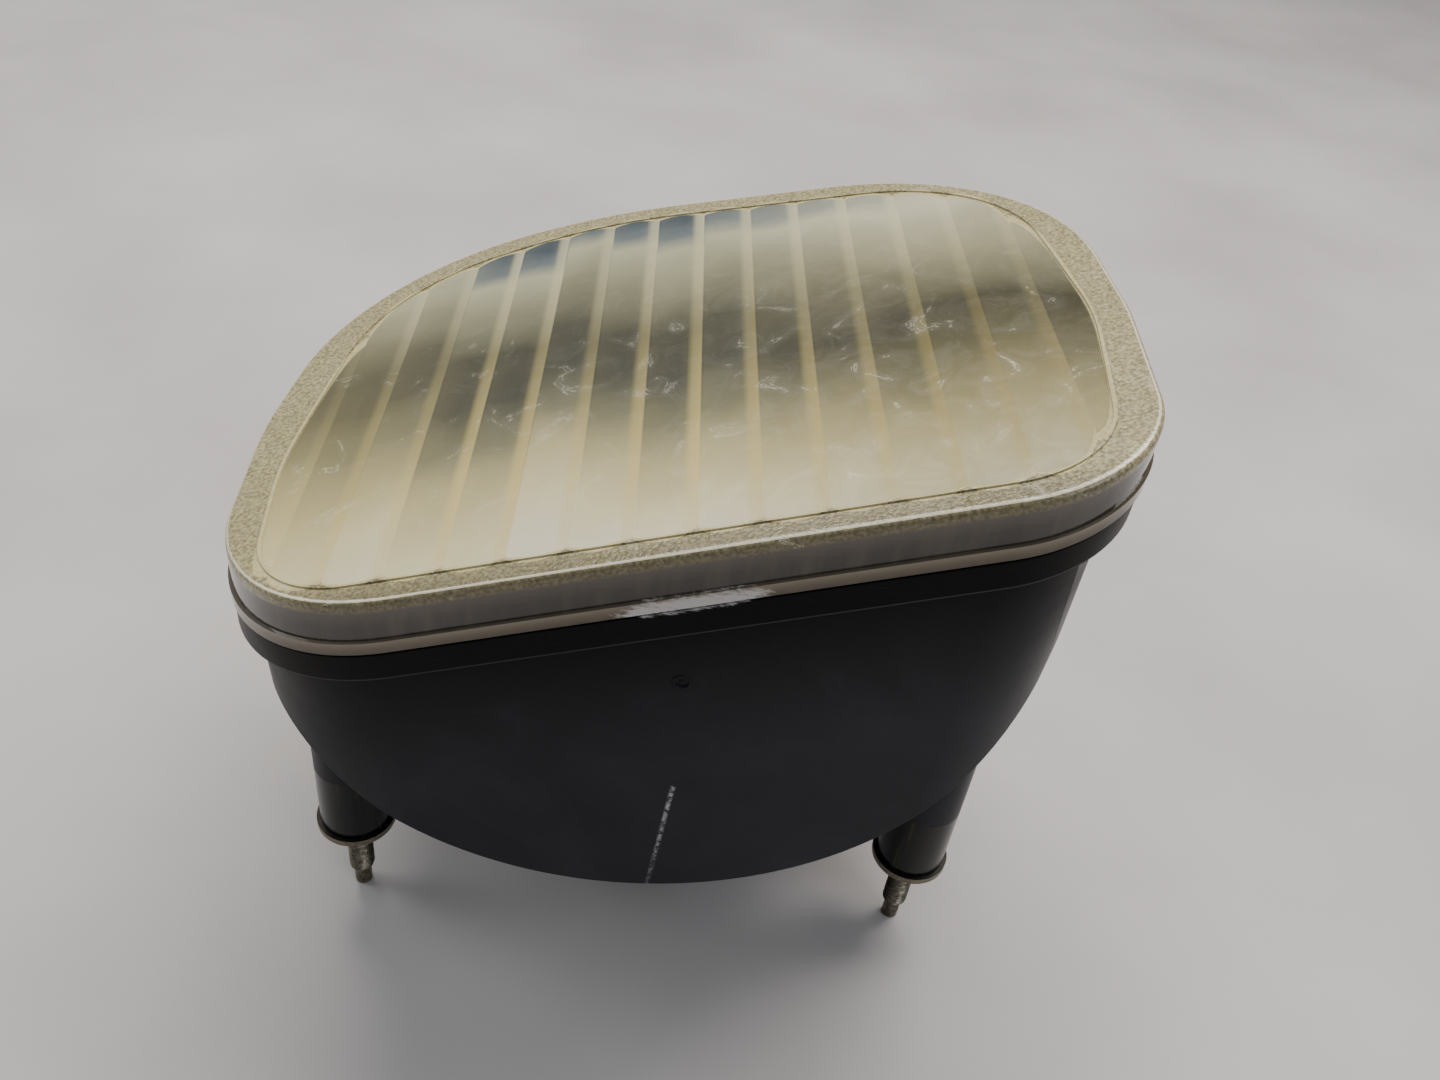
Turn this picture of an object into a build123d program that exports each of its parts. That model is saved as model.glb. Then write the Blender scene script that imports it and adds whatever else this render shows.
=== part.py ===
"""Swept front fog lamp for a vehicle: fluted lens on a deep moulded housing that stands on three M6 studs.

Row frame: origin midway between the two lower studs, on the seating plane of their washers.
+Z runs forward out of the lens along the optical axis, +X along the lens's lower edge, +Y to the lamp's top.
All sizes are in millimetres.
"""
from build123d import *
from math import cos, sin, tan, radians, sqrt
import os

over = 1.0                    # how far a cut runs past the face it opens

# ---------------------------------------------------------------- outlines, in plan: corner and its radius
sweep_angle = 17.5            # the lens plane leans back towards -X
lens_height = 100.6           # joint plane of lens and housing above the origin
lens_corners = [
    (-83.5, -30.9, 38), (79.6, -30.8, 26), (83.1, 22, 60), (80.4, 93, 59),
    (-20, 109.2, 94), (-79.7, 96.7, 59), (-87.5, 33, 99)]
flute_corners = [             # border of the fluted field
    (-73.2, -24.5, 20), (69.8, -24.5, 18), (75.6, 22, 70), (68.9, 87, 40),
    (-20.8, 102, 80), (-71.3, 87, 44), (-78.4, 17, 100)]
wall_corners = [              # housing's wall at the height of the lens's highest end
    (-83.5, -27, 36), (78.6, -27, 24), (82.5, 22, 58), (79.5, 89.5, 57),
    (-20, 105.5, 91), (-79.7, 93, 57), (-88, 33, 99)]

# ---------------------------------------------------------------- lens
lens_wall = 2.8
lens_depth = 12.0             # from the foot to the outer face
lens_edge_radius = 1.2
lens_foot_height = 2.6        # bead that runs round the foot
lens_foot_step = 0.6
flute_pitch = 11.2
flute_count = 14
flute_first = -70.7           # first valley between two flutes
flute_rise = 1.2
ridge_width = 0.7             # raised line round the fluted field
ridge_rise = 0.35
seal_height = 0.8
seal_inset = 1.4

# ---------------------------------------------------------------- housing
rim_height = 5.8              # band round the housing's mouth
rim_inset = 0.5
wall = 2.5
draft = 3.0                   # degrees, the walls narrow towards the back
bowl_radius = 90.0            # spherical back
axis_x, axis_y = -3.5, 30.0   # optical axis
bowl_centre_z = 84.0
neck_radius = 27.8
neck_wall = 3.0
neck_end_z = -10.9

# ---------------------------------------------------------------- mounting studs
stud_spacing = 132.0
upper_stud = (33.0, 89.0)
stud_radius = 3.0
stud_shank_radius = 2.7       # rolled thread: the plain shank is thinner
stud_reach = 24.4             # below the washer's seating face
stud_dog_radius = 2.0
stud_dog_length = 6.0
stud_grip = 12.0              # length held in the housing's boss
washer_radius = 9.0
washer_thickness = 1.6
washer_bore = 3.2
sleeve_radius = 8.1
sleeve_length = 19.0
sleeve_bore = 3.1
spot_clearance = 0.8          # round the boss, where it sinks into the bowl
pad_radius = 11.0
pad_height = 14.0
boss_height = 45.0            # outside the shell, so that the boss meets the steep part of the bowl
stud_chamfer = 0.4

# ---------------------------------------------------------------- reflector
reflector_gap = 0.8           # to the housing's wall
reflector_wall = 1.5
focal_length = 20.0
vertex_z = 4.6
reflector_top_gap = 2.0       # below the joint plane
hub_radius = 14.0
hub_lip_radius = 7.0
hub_lip = 1.2
post_distance = 46.0          # screw posts, from the optical axis
post_angles = (30, 150, 270)
post_radius = 5.5
post_top_z = 20.0
boss_radius = 4.5
screw_radius = 1.75
screw_head_radius = 3.3
screw_head = 2.0
screw_seat_z = 11.0
screw_end_z = 27.5
screw_clearance = 0.05
screw_head_clearance = 0.5
screw_cross = (3.2, 0.8)
screw_blind_end = 0.5         # hole beyond the screw's tip
hub_depth = 3.0               # hub and bosses run up into the reflector's shell
ear_depth = 6.0

# ---------------------------------------------------------------- bulb
flange_radius = 10.2
flange_thickness = 1.5
flange_clearance = 0.3
bulb_body_radius = 6.0
bulb_body_length = 6.5
bulb_collar = 2.4
glass_radius = 5.2
glass_wall = 0.9
glass_length = 24.0
filament_size = (0.9, 5.6)    # radius and length of the coil
filament_wire = 0.35
filament_spacing = 5.2
insulator_radius = 4.2
insulator_length = 2.0
lead_radius = 1.2
lead_bend = 4.0
lead_drop = 4.5               # below the insulator, to the terminal's axis
lead_bridge_z = 12.6          # both leads cross to the pins above the bowl
lead_route = {"feed": [(21, 0, 3.6), (18, 17, 7.6), (7, 36, lead_bridge_z)],
              "earth": [(-22, 15, 6.0), (-7, 36, lead_bridge_z)]}
lead_end_gap = 0.35          # a lead meets its pin or blade at a slant
terminal_size = (12.0, 8.0, 6.0)
terminal_offset = 16.5
terminal_round = 1.5
tab_offset = 21.0             # earth tab, from the optical axis towards -X
tab_size = (5.0, 0.8, 12.0)
tab_lead_z = 3.0

# ---------------------------------------------------------------- bulb clip
clip_wire = 0.8
clip_gap = 0.05
clip_half_width = 7.6
clip_reach = 17.0
clip_bend = 2.0
clip_end = 0.6                # beyond the ear
ear_size = (4.0, 3.0)
ear_offset = 11.4
ear_end_z = 2.4
seat_size = (4.0, 8.0)

# ---------------------------------------------------------------- glare shield
shield_cup_radius = 9.0
shield_ring_radius = 13.0
shield_wall = 1.0
shield_leg_width = 4.0
shield_cup_z = 30.0
shield_cup_height = 7.0

# ---------------------------------------------------------------- rear cap
cap_floor_z = -13.4
cap_wall = 2.2
cap_clearance = 0.3
cap_top_z = -2.0
cap_round = 1.5
lug_clearance = 0.3
bayonet_height = 2.0
ledge_z = -10.4
ledge_span = 50.0             # degrees
lug_start = 8.0
lug_span = 24.0
stop_gap, stop_span = 2.0, 4.0
bayonet_count = 3
grip_count = 20
grip_depth = 1.4
grip_start = 2.0
seal_ring_height = 2.0
seal_ring_z = -5.4
seal_ring_fit = 0.05

# ---------------------------------------------------------------- connector and vent
socket_offset = 51.0          # from the optical axis towards +Y
socket_pad = (34.0, 22.0)
socket_pad_z = 4.0
socket_pad_depth = 10.0
socket_flange = (30.0, 18.0)
socket_flange_thickness = 2.0
gasket_thickness = 1.0
socket_size = (20.0, 12.0)
socket_wall = 1.6
socket_depth = 13.0
socket_hole = (17.0, 9.0)
pin_size = (2.8, 0.8)
pin_offset = 4.0
pin_end_z = 14.5
pin_reach = 10.0
socket_screw_radius = 1.4
socket_screw_offset = 12.6
socket_screw_head = (2.4, 1.4)   # radius and height
socket_screw_grip = 5.0
vent_offset = (-30.0, 40.0)
vent_radius = 4.2
vent_bore = 2.2
vent_bend = 7.0
vent_top_z = 13.0
vent_mouth_z = -3.0
vent_reach = 12.0

lean = radians(sweep_angle)
lens_plane = Plane(origin=(0, 0, lens_height), x_dir=(cos(lean), 0, sin(lean)),
                   z_dir=(-sin(lean), 0, cos(lean)))
wall_top_z = lens_height + 29.4
sleeve_top_z = washer_thickness + sleeve_length
flange_z = vertex_z + 2.0
studs = {"left": (-stud_spacing / 2, 0), "right": (stud_spacing / 2, 0), "upper": upper_stud}
UP = (Align.CENTER, Align.CENTER, Align.MIN)
DOWN = (Align.CENTER, Align.CENTER, Align.MAX)


def on_axis(x=0.0, y=0.0, z=0.0):
    """A place given from the optical axis."""
    return Pos(axis_x + x, axis_y + y, z)


def rod(radius, low, high):
    return Pos(0, 0, low) * Cylinder(radius, high - low, align=UP)


def tube(outer, inner, low, high):
    return rod(outer, low, high) - rod(inner, low - over, high + over)


def block(x, y, low, high):
    return Pos(0, 0, low) * Box(x, y, high - low, align=UP)


def outline(corners, inset=0.0):
    """Rounded outline in plan, moved in by inset."""
    points = [(x, y) for x, y, r in corners]
    face = make_face(FilletPolyline(*points, radius=[r for x, y, r in corners], close=True))
    return offset(face, -inset) if inset else face


def lens_slab(inset, low, high, corners=lens_corners):
    """Slab with upright sides between two planes parallel to the lens, at heights above the joint."""
    column = extrude(outline(corners, inset), amount=2 * lens_height)
    return column & lens_plane.offset(low) * block(4 * lens_height, 4 * lens_height, 0, high - low)


def wall_prism(inset):
    """Everything inside the housing's drafted wall, moved in by inset."""
    plan = outline(wall_corners, inset)
    return extrude(Pos(0, 0, wall_top_z) * plan, amount=-(wall_top_z - cap_floor_z), taper=draft)


def below_lens(height):
    """Half space under the plane at this height above the joint."""
    return lens_plane.offset(height) * Box(400, 400, 400, align=DOWN)


def bowl(thickness=0.0):
    """Ball that bounds the housing's back, with a tall drum above it so that it only cuts the back."""
    radius = bowl_radius - thickness
    ball = on_axis(z=bowl_centre_z) * Sphere(radius)
    return ball + on_axis() * rod(radius, bowl_centre_z, 2 * lens_height)


def bowl_z(distance, thickness=0.0):
    """Height of the bowl's surface at a distance from the optical axis."""
    return bowl_centre_z - sqrt((bowl_radius - thickness) ** 2 - distance ** 2)


def paraboloid(vertex):
    """Solid above the paraboloid of the reflector, from its vertex up."""
    reach = 125.0
    top = vertex + reach ** 2 / (4 * focal_length)
    curve = Bezier((0, 0, vertex), (reach / 2, 0, vertex), (reach, 0, top))
    edges = [curve, Line((reach, 0, top), (0, 0, top)), Line((0, 0, top), (0, 0, vertex))]
    return on_axis() * revolve(make_face(edges), Axis.Z)


def at_posts():
    return [on_axis(post_distance * cos(radians(a)), post_distance * sin(radians(a))) for a in post_angles]


def arc_block(inner, outer, low, high, start, span):
    """Part of a ring, from a start angle over a span, about the optical axis."""
    ring = tube(outer, inner, low, high)
    wedge = revolve(Plane.XZ * Pos(outer, 0) * Rectangle(2 * outer, 200), Axis.Z, span)
    return on_axis() * (ring & Rot(0, 0, start) * wedge)


def bend_radii(points):
    """The largest arc that each corner's two runs allow."""
    radii = []
    for a, b, c in zip(points, points[1:], points[2:]):
        first, second = Vector(*b) - Vector(*a), Vector(*c) - Vector(*b)
        half = radians(first.get_angle(second) / 2)
        radii.append(0.45 * min(first.length, second.length) / tan(half))
    return radii


def pipe(points, radius, bends=None):
    """Round wire or lead along straight runs joined by tangent arcs."""
    path = FilletPolyline(*points, radius=bends or bend_radii(points))
    return sweep(Plane(path @ 0, z_dir=path % 0) * Circle(radius), path)


def make_lens():
    """Moulded polycarbonate cover: flat face, rounded edge, bead round the foot, flutes on its inner face."""
    body = lens_slab(lens_foot_step, seal_height, lens_depth)
    outer_face = body.faces().sort_by(Axis(lens_plane.origin, lens_plane.z_dir))[-1]
    body = fillet(outer_face.edges(), lens_edge_radius)
    body += lens_slab(0, seal_height, seal_height + lens_foot_height)
    inner = lens_depth - lens_wall
    body -= lens_slab(lens_wall + lens_foot_step, -over, inner)
    body += flutes(inner)
    ridge = lens_slab(-ridge_width, lens_depth - ridge_rise, lens_depth + ridge_rise, flute_corners)
    return body + (ridge - lens_slab(0, lens_depth - over, lens_depth + over, flute_corners))


def flutes(level):
    """Row of upright ribs with round crests that hang from the lens's inner face."""
    width = flute_pitch * flute_count
    start = (flute_first - flute_pitch / 2, level)
    chain, u = [], start[0]
    for n in range(flute_count + 1):
        ends = (u, level), (u + flute_pitch, level)
        chain.append(ThreePointArc(ends[0], (u + flute_pitch / 2, level - flute_rise), ends[1]))
        u += flute_pitch
    top = level + lens_wall / 2
    chain += [Line((u, level), (u, top)), Line((u, top), (start[0], top)), Line((start[0], top), start)]
    side = Plane(origin=lens_plane.origin, x_dir=lens_plane.x_dir, z_dir=-lens_plane.y_dir)
    comb = extrude(side * make_face(chain), amount=width, both=True)
    return comb & lens_slab(0, level - 2 * flute_rise, level + lens_wall / 2, flute_corners)


def make_lens_seal():
    """Bead of black adhesive between the lens's foot and the housing's rim."""
    inner = lens_foot_step + lens_wall
    return lens_slab(seal_inset, 0, seal_height) - lens_slab(inner, -over, seal_height + over)


def make_housing():
    """Moulded shell: rim band, drafted walls, round back and neck, stud bosses, screw posts, socket pad."""
    shell = lens_slab(rim_inset, -rim_height, 0)
    shell += wall_prism(0) & bowl() & below_lens(0)
    cavity = wall_prism(wall) & bowl(wall)
    posts = [place * rod(post_radius, bowl_z(post_distance) - over, post_top_z) for place in at_posts()]
    pads = [Pos(x, y) * rod(pad_radius, sleeve_top_z, sleeve_top_z + pad_height) for x, y in studs.values()]
    socket = on_axis(y=socket_offset) * block(*socket_pad, socket_pad_z, socket_pad_z + socket_pad_depth)
    inside = wall_prism(0) & bowl()
    shell = shell - cavity + [piece & inside for piece in posts + pads]
    shell += socket - on_axis(z=bowl_centre_z) * Sphere(bowl_radius - wall)
    for x, y in studs.values():
        shell -= Pos(x, y) * rod(sleeve_radius + spot_clearance, washer_thickness, sleeve_top_z)
        shell += Pos(x, y) * rod(sleeve_radius, sleeve_top_z, sleeve_top_z + boss_height) - cavity
        shell -= Pos(x, y) * rod(stud_shank_radius, sleeve_top_z - over, sleeve_top_z + stud_grip)
    shell += on_axis() * rod(neck_radius, neck_end_z, bowl_z(neck_radius) + over)
    bore = neck_radius - neck_wall
    shell -= on_axis() * rod(bore, neck_end_z - over, bowl_z(bore) + wall + 2 * over)
    root, tip = neck_radius - over, cap_bore() - cap_clearance
    for n in range(bayonet_count):
        turn = 360 / bayonet_count * n
        stop_turn = turn + lug_start + lug_span + stop_gap
        shell += arc_block(root, tip, ledge_z, ledge_z + bayonet_height, turn, ledge_span)
        shell += arc_block(root, tip, ledge_z, ledge_z + 2 * bayonet_height, stop_turn, stop_span)
    for place in at_posts():
        shell -= place * rod(screw_head_radius + screw_head_clearance, cap_floor_z, screw_seat_z)
        shell -= place * rod(screw_radius + screw_clearance, cap_floor_z, post_top_z + over)
    hole = block(*socket_hole, socket_pad_z - over, socket_pad_z + 2 * socket_pad_depth)
    shell -= on_axis(y=socket_offset) * hole
    for side in (-1, 1):
        place = on_axis(side * socket_screw_offset, socket_offset)
        shell -= place * rod(socket_screw_radius + screw_clearance, socket_pad_z - over,
                             socket_pad_z + socket_screw_grip + over)
    shell -= on_axis(*vent_offset) * rod(vent_radius, cap_floor_z, post_top_z)
    return shell


def cap_bore():
    return neck_radius + bayonet_height + cap_clearance


def make_reflector():
    """Aluminised shell: paraboloid with a skirt up the walls, bulb hub, clip ears and seat, screw bosses."""
    outside = wall + reflector_gap
    skirt = wall_prism(outside) & bowl(outside) & below_lens(-reflector_top_gap)
    body = skirt & paraboloid(vertex_z - reflector_wall)
    hub_z = flange_z - flange_thickness + flange_clearance
    body += on_axis() * rod(hub_radius, hub_z, vertex_z + hub_depth)
    body -= on_axis() * rod(hub_radius, cap_floor_z, hub_z)
    under = vertex_z + ear_depth
    for side in (-1, 1):
        body += on_axis(-clip_reach, side * ear_offset) * block(*ear_size, ear_end_z, under)
    body += on_axis(clip_reach) * block(*seat_size, ear_end_z, under)
    for place in at_posts():
        body += place * rod(boss_radius, post_top_z, 2 * screw_end_z) & skirt
    body -= wall_prism(outside + reflector_wall) & bowl(outside + reflector_wall) & paraboloid(vertex_z)
    body += on_axis() * tube(hub_radius, hub_lip_radius, flange_z, flange_z + hub_lip)
    body -= on_axis() * rod(flange_radius + flange_clearance, cap_floor_z, flange_z)
    body -= on_axis() * rod(hub_lip_radius, cap_floor_z, flange_z + hub_lip + over)
    pivot = Rot(90, 0, 0) * Cylinder(clip_wire + clip_gap, 4 * ear_offset)
    body -= on_axis(-clip_reach, 0, clip_z()) * pivot
    slot = Box(2 * (clip_wire + clip_gap), 2 * seat_size[1], ear_depth + over, align=DOWN)
    body -= on_axis(clip_reach, 0, clip_z() + clip_wire + clip_gap) * slot
    for place in at_posts():
        body -= place * rod(screw_radius + screw_clearance, post_top_z - over, screw_end_z + screw_blind_end)
    return body


def make_reflector_screws():
    """Pan-head screws that go up through the housing's posts into the reflector's bosses."""
    screw = rod(screw_head_radius, screw_seat_z - screw_head, screw_seat_z)
    screw += rod(screw_radius, screw_seat_z, screw_end_z)
    cross = block(*screw_cross, screw_seat_z - screw_head, screw_seat_z - screw_head / 2)
    screw -= cross + Rot(0, 0, 90) * cross
    return Compound([place * screw for place in at_posts()])


def clip_z():
    """Height of the clip's wire: just under the bulb's flange."""
    return flange_z - flange_thickness - clip_gap - clip_wire


def make_bulb_clip():
    """Spring wire bent to a U. Its ends turn outward into the ears and its cross bar snaps into the seat."""
    end = ear_offset + ear_size[1] / 2 + clip_end
    side = [(-clip_reach, end), (-clip_reach, clip_half_width), (clip_reach, clip_half_width)]
    points = [(x, -y) for x, y in side] + side[::-1]
    places = [(axis_x + x, axis_y + y, clip_z()) for x, y in points]
    return pipe(places, clip_wire, [clip_bend] * (len(points) - 2))


def make_bulb_base():
    """Bulb's metal base: locating flange, body and collar."""
    low = flange_z - flange_thickness
    base = rod(flange_radius, low, flange_z) + rod(bulb_body_radius, low - bulb_body_length, low)
    return on_axis() * (base + rod(bulb_body_radius, flange_z, flange_z + bulb_collar))


def make_bulb_glass():
    """Quartz capsule with a domed tip."""
    low = flange_z + bulb_collar
    top = low + glass_length - glass_radius

    def capsule(radius, start):
        return rod(radius, start, top) + Pos(0, 0, top) * Sphere(radius)
    return on_axis() * (capsule(glass_radius, low) - capsule(glass_radius - glass_wall, low + glass_wall))


def make_filament():
    """Tungsten coil across the axis at the reflector's focus, on two support wires."""
    low = flange_z + bulb_collar + glass_wall
    focus = vertex_z + focal_length
    coil = on_axis(z=focus) * Rot(90, 0, 0) * Cylinder(*filament_size)
    for side in (-1, 1):
        coil += on_axis(y=side * filament_spacing / 2) * rod(filament_wire, low, focus)
    return coil


def insulator_end_z():
    return flange_z - flange_thickness - bulb_body_length - insulator_length


def make_bulb_insulator():
    """Ceramic plug that closes the bulb's base round its lead."""
    return on_axis() * rod(insulator_radius, insulator_end_z(), insulator_end_z() + insulator_length)


def terminal_z():
    return insulator_end_z() - lead_drop


def make_bulb_lead():
    """Short lead from the bulb's base, down and round to the terminal."""
    end = terminal_offset - terminal_size[0] / 2
    points = [(0, insulator_end_z()), (0, terminal_z()), (end, terminal_z())]
    return pipe([(axis_x + x, axis_y, z) for x, z in points], lead_radius, [lead_bend])


def make_lead_terminal():
    """Insulated push-on terminal between the bulb's lead and the supply lead."""
    body = fillet(Box(*terminal_size).edges().filter_by(Axis.X), terminal_round)
    return on_axis(terminal_offset, 0, terminal_z()) * body


def make_supply_lead():
    """Feed from the terminal up past the neck to the connector's first pin."""
    route = lead_route["feed"]
    start = (route[0][0], route[0][1], terminal_z() + terminal_size[2] / 2)
    end = (pin_offset, socket_offset - pin_size[1] / 2 - lead_end_gap, lead_bridge_z)
    return pipe([(axis_x + x, axis_y + y, z) for x, y, z in [start, *route, end]], lead_radius)


def make_earth_tab():
    """Brass blade that hangs from the reflector beside the hub."""
    top = vertex_z - reflector_wall + tab_offset ** 2 / (4 * focal_length)
    blade = on_axis(-tab_offset, 0, top + over) * Box(*tab_size, align=DOWN)
    return blade - paraboloid(vertex_z - reflector_wall)


def make_earth_lead():
    """Earth from the tab to the connector's second pin."""
    start = (-tab_offset, tab_size[1] / 2 + lead_end_gap, tab_lead_z)
    end = (-pin_offset, socket_offset - pin_size[1] / 2 - lead_end_gap, lead_bridge_z)
    points = [start, *lead_route["earth"], end]
    return pipe([(axis_x + x, axis_y + y, z) for x, y, z in points], lead_radius)


def make_shield():
    """Glare shield: cup over the bulb's tip on three legs that stand on the hub."""
    foot = flange_z + hub_lip
    ring = tube(shield_ring_radius, shield_cup_radius - shield_wall, foot, foot + shield_wall)
    top = tube(shield_ring_radius, shield_cup_radius - shield_wall, shield_cup_z - shield_wall, shield_cup_z)
    cup = tube(shield_cup_radius, shield_cup_radius - shield_wall, shield_cup_z - shield_wall,
               shield_cup_z + shield_cup_height)
    crown = shield_cup_z + shield_cup_height
    lid = rod(shield_cup_radius, crown - shield_wall, crown)
    body = ring + top + cup + lid
    for n in range(3):
        leg = block(shield_wall, shield_leg_width, foot, shield_cup_z)
        body += Rot(0, 0, 120 * n + 60) * Pos(shield_ring_radius - shield_wall, 0) * leg
    return on_axis() * body


def make_rear_cap():
    """Moulded cap: floor, skirt with finger grips outside and three bayonet lugs inside."""
    outer = cap_bore() + cap_wall
    cap = rod(outer, cap_floor_z, cap_top_z) - rod(cap_bore(), cap_floor_z + cap_wall, cap_top_z + over)
    cap = fillet(cap.edges().filter_by(GeomType.CIRCLE).group_by(Axis.Z)[0], cap_round)
    for n in range(grip_count):
        grip = Pos(outer, 0) * rod(grip_depth, cap_floor_z + grip_start, cap_top_z)
        cap += Rot(0, 0, 360 / grip_count * n) * grip
    cap = on_axis() * cap
    low = ledge_z + bayonet_height + lug_clearance
    for n in range(bayonet_count):
        cap += arc_block(neck_radius + lug_clearance, cap_bore() + over, low, low + bayonet_height,
                         360 / bayonet_count * n + lug_start, lug_span)
    return cap


def make_cap_seal():
    """Rubber ring on the neck that the cap's skirt runs on."""
    ring = tube(cap_bore() - seal_ring_fit, neck_radius, seal_ring_z, seal_ring_z + seal_ring_height)
    return on_axis() * ring


def make_socket():
    """Two-way connector shell: flange under the pad and a shroud open at the bottom."""
    top = socket_pad_z - gasket_thickness
    floor = top - socket_flange_thickness
    shell = block(*socket_flange, floor, top) + block(*socket_size, floor - socket_depth, floor)
    inner = [size - 2 * socket_wall for size in socket_size]
    shell -= block(*inner, floor - socket_depth - over, floor)
    shell = on_axis(y=socket_offset) * shell
    for side in (-1, 1):
        shell -= pin_shape(side)
        shell -= on_axis(side * socket_screw_offset, socket_offset) * rod(
            socket_screw_radius + screw_clearance, floor - over, top + over)
    return shell


def make_socket_gasket():
    """Flat gasket between the connector's flange and the pad."""
    low = socket_pad_z - gasket_thickness
    plate = block(*socket_flange, low, socket_pad_z) - block(*socket_hole, low - over, socket_pad_z + over)
    plate = on_axis(y=socket_offset) * plate
    for side in (-1, 1):
        plate -= on_axis(side * socket_screw_offset, socket_offset) * rod(
            socket_screw_radius + screw_clearance, low - over, socket_pad_z + over)
    return plate


def pin_shape(side):
    low = socket_pad_z - gasket_thickness - socket_flange_thickness - pin_reach
    return on_axis(side * pin_offset, socket_offset) * block(*pin_size, low, pin_end_z)


def make_socket_screws():
    """Two small screws through the connector's flange."""
    seat = socket_pad_z - gasket_thickness - socket_flange_thickness
    radius, height = socket_screw_head
    screw = rod(socket_screw_radius, seat, socket_pad_z + socket_screw_grip)
    screw += rod(radius, seat - height, seat)
    return Compound([on_axis(side * socket_screw_offset, socket_offset) * screw for side in (-1, 1)])


def make_vent():
    """Rubber breather elbow pushed into the back, with its mouth turned down and away from spray."""
    x, y = axis_x + vent_offset[0], axis_y + vent_offset[1]


    def elbow(radius, beyond):
        turn = (x, y, vent_mouth_z)
        ends = (x, y, vent_top_z + beyond), (x, y + vent_reach + beyond, vent_mouth_z)
        return pipe([ends[0], turn, ends[1]], radius, [vent_bend])
    return elbow(vent_radius, 0) - elbow(vent_bore, over)


def make_stud(x, y):
    """M6 stud: plain shank held in the boss, thread below the washer, dog point."""
    point = -stud_reach + stud_dog_length
    body = rod(stud_radius, point, 0) + rod(stud_shank_radius, 0, sleeve_top_z + stud_grip)
    body += rod(stud_dog_radius, -stud_reach, point)
    tip = body.edges().filter_by(GeomType.CIRCLE).group_by(Axis.Z)[0]
    return Pos(x, y) * chamfer(tip, stud_chamfer)


def make_washer(x, y):
    return Pos(x, y) * tube(washer_radius, washer_bore, 0, washer_thickness)


def make_sleeve(x, y):
    """Spacer sleeve between the washer and the housing's boss."""
    return Pos(x, y) * tube(sleeve_radius, sleeve_bore, washer_thickness, sleeve_top_z)


parts = {
    "lens": make_lens(), "lens_seal": make_lens_seal(), "housing": make_housing(),
    "reflector": make_reflector(), "reflector_screws": make_reflector_screws(),
    "glare_shield": make_shield(), "bulb_base": make_bulb_base(), "bulb_glass": make_bulb_glass(),
    "bulb_filament": make_filament(), "bulb_insulator": make_bulb_insulator(), "bulb_lead": make_bulb_lead(),
    "bulb_clip": make_bulb_clip(), "lead_terminal": make_lead_terminal(), "supply_lead": make_supply_lead(),
    "earth_lead": make_earth_lead(), "earth_tab": make_earth_tab(), "rear_cap": make_rear_cap(),
    "cap_seal": make_cap_seal(), "connector_socket": make_socket(), "connector_gasket": make_socket_gasket(),
    "connector_pin_feed": pin_shape(1), "connector_pin_earth": pin_shape(-1),
    "connector_screws": make_socket_screws(), "vent_elbow": make_vent(),
}
for name, (x, y) in studs.items():
    parts["stud_" + name] = make_stud(x, y)
    parts["washer_" + name] = make_washer(x, y)
    parts["sleeve_" + name] = make_sleeve(x, y)

os.makedirs("parts", exist_ok=True)
for name, shape in parts.items():
    export_step(shape, "parts/" + name + ".step")
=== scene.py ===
"""Looks of the swept front fog lamp: aged clear lens, black moulded housing, studs, bulb and wiring.

Everything is in metres in the lamp's own frame: +Z out of the lens, +X along its lower edge, +Y to its top.
"""
from math import atan2, cos, pi, radians, sin

import bmesh
import bpy
from mathutils import Matrix, Vector


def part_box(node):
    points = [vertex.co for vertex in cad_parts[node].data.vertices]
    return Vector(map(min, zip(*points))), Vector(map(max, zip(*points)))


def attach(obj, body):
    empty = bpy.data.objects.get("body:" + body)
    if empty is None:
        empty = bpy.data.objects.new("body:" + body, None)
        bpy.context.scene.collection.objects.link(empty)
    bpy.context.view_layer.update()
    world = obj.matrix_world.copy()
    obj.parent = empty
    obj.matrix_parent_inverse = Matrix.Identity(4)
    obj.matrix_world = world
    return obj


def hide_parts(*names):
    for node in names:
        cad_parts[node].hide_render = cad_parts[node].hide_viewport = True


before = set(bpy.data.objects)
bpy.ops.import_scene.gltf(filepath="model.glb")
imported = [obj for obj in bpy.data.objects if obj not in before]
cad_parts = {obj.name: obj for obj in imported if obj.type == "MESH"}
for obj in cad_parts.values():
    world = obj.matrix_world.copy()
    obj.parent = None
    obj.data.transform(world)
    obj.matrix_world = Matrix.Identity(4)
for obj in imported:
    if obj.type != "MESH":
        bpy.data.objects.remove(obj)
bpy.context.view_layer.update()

# ---------------------------------------------------------------- table, camera and studio light
# The lamp stands on its three stud tips on a painted pale grey table top with a little dust.
# One wide soft light hangs above and behind the lamp, and a weaker one fills its near side.
stud_tips_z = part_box("stud_left")[0][2]


def linear(code):
    """sRGB hex to the linear colour that shaders take."""
    parts = [int(code[i:i + 2], 16) / 255 for i in (1, 3, 5)]
    return (*[c / 12.92 if c < 0.04045 else ((c + 0.055) / 1.055) ** 2.4 for c in parts], 1.0)


def add(tree, kind, inputs=None, stops=None, **settings):
    """Adds a shader node, sets it, and fills its inputs with values or with other nodes' outputs."""
    node = tree.nodes.new("ShaderNode" + kind)
    for name, value in settings.items():
        setattr(node, name, value)
    for name, value in (inputs or {}).items():
        if isinstance(value, bpy.types.Node):
            value = value.outputs[0]
        if isinstance(value, bpy.types.NodeSocket):
            tree.links.new(value, node.inputs[name])
        else:
            node.inputs[name].default_value = value
    if stops:
        ramp = node.color_ramp.elements
        while len(ramp) < len(stops):
            ramp.new(1.0)
        for element, (place, colour) in zip(ramp, stops):
            element.position = place
            element.color = linear(colour)
    return node


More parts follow.
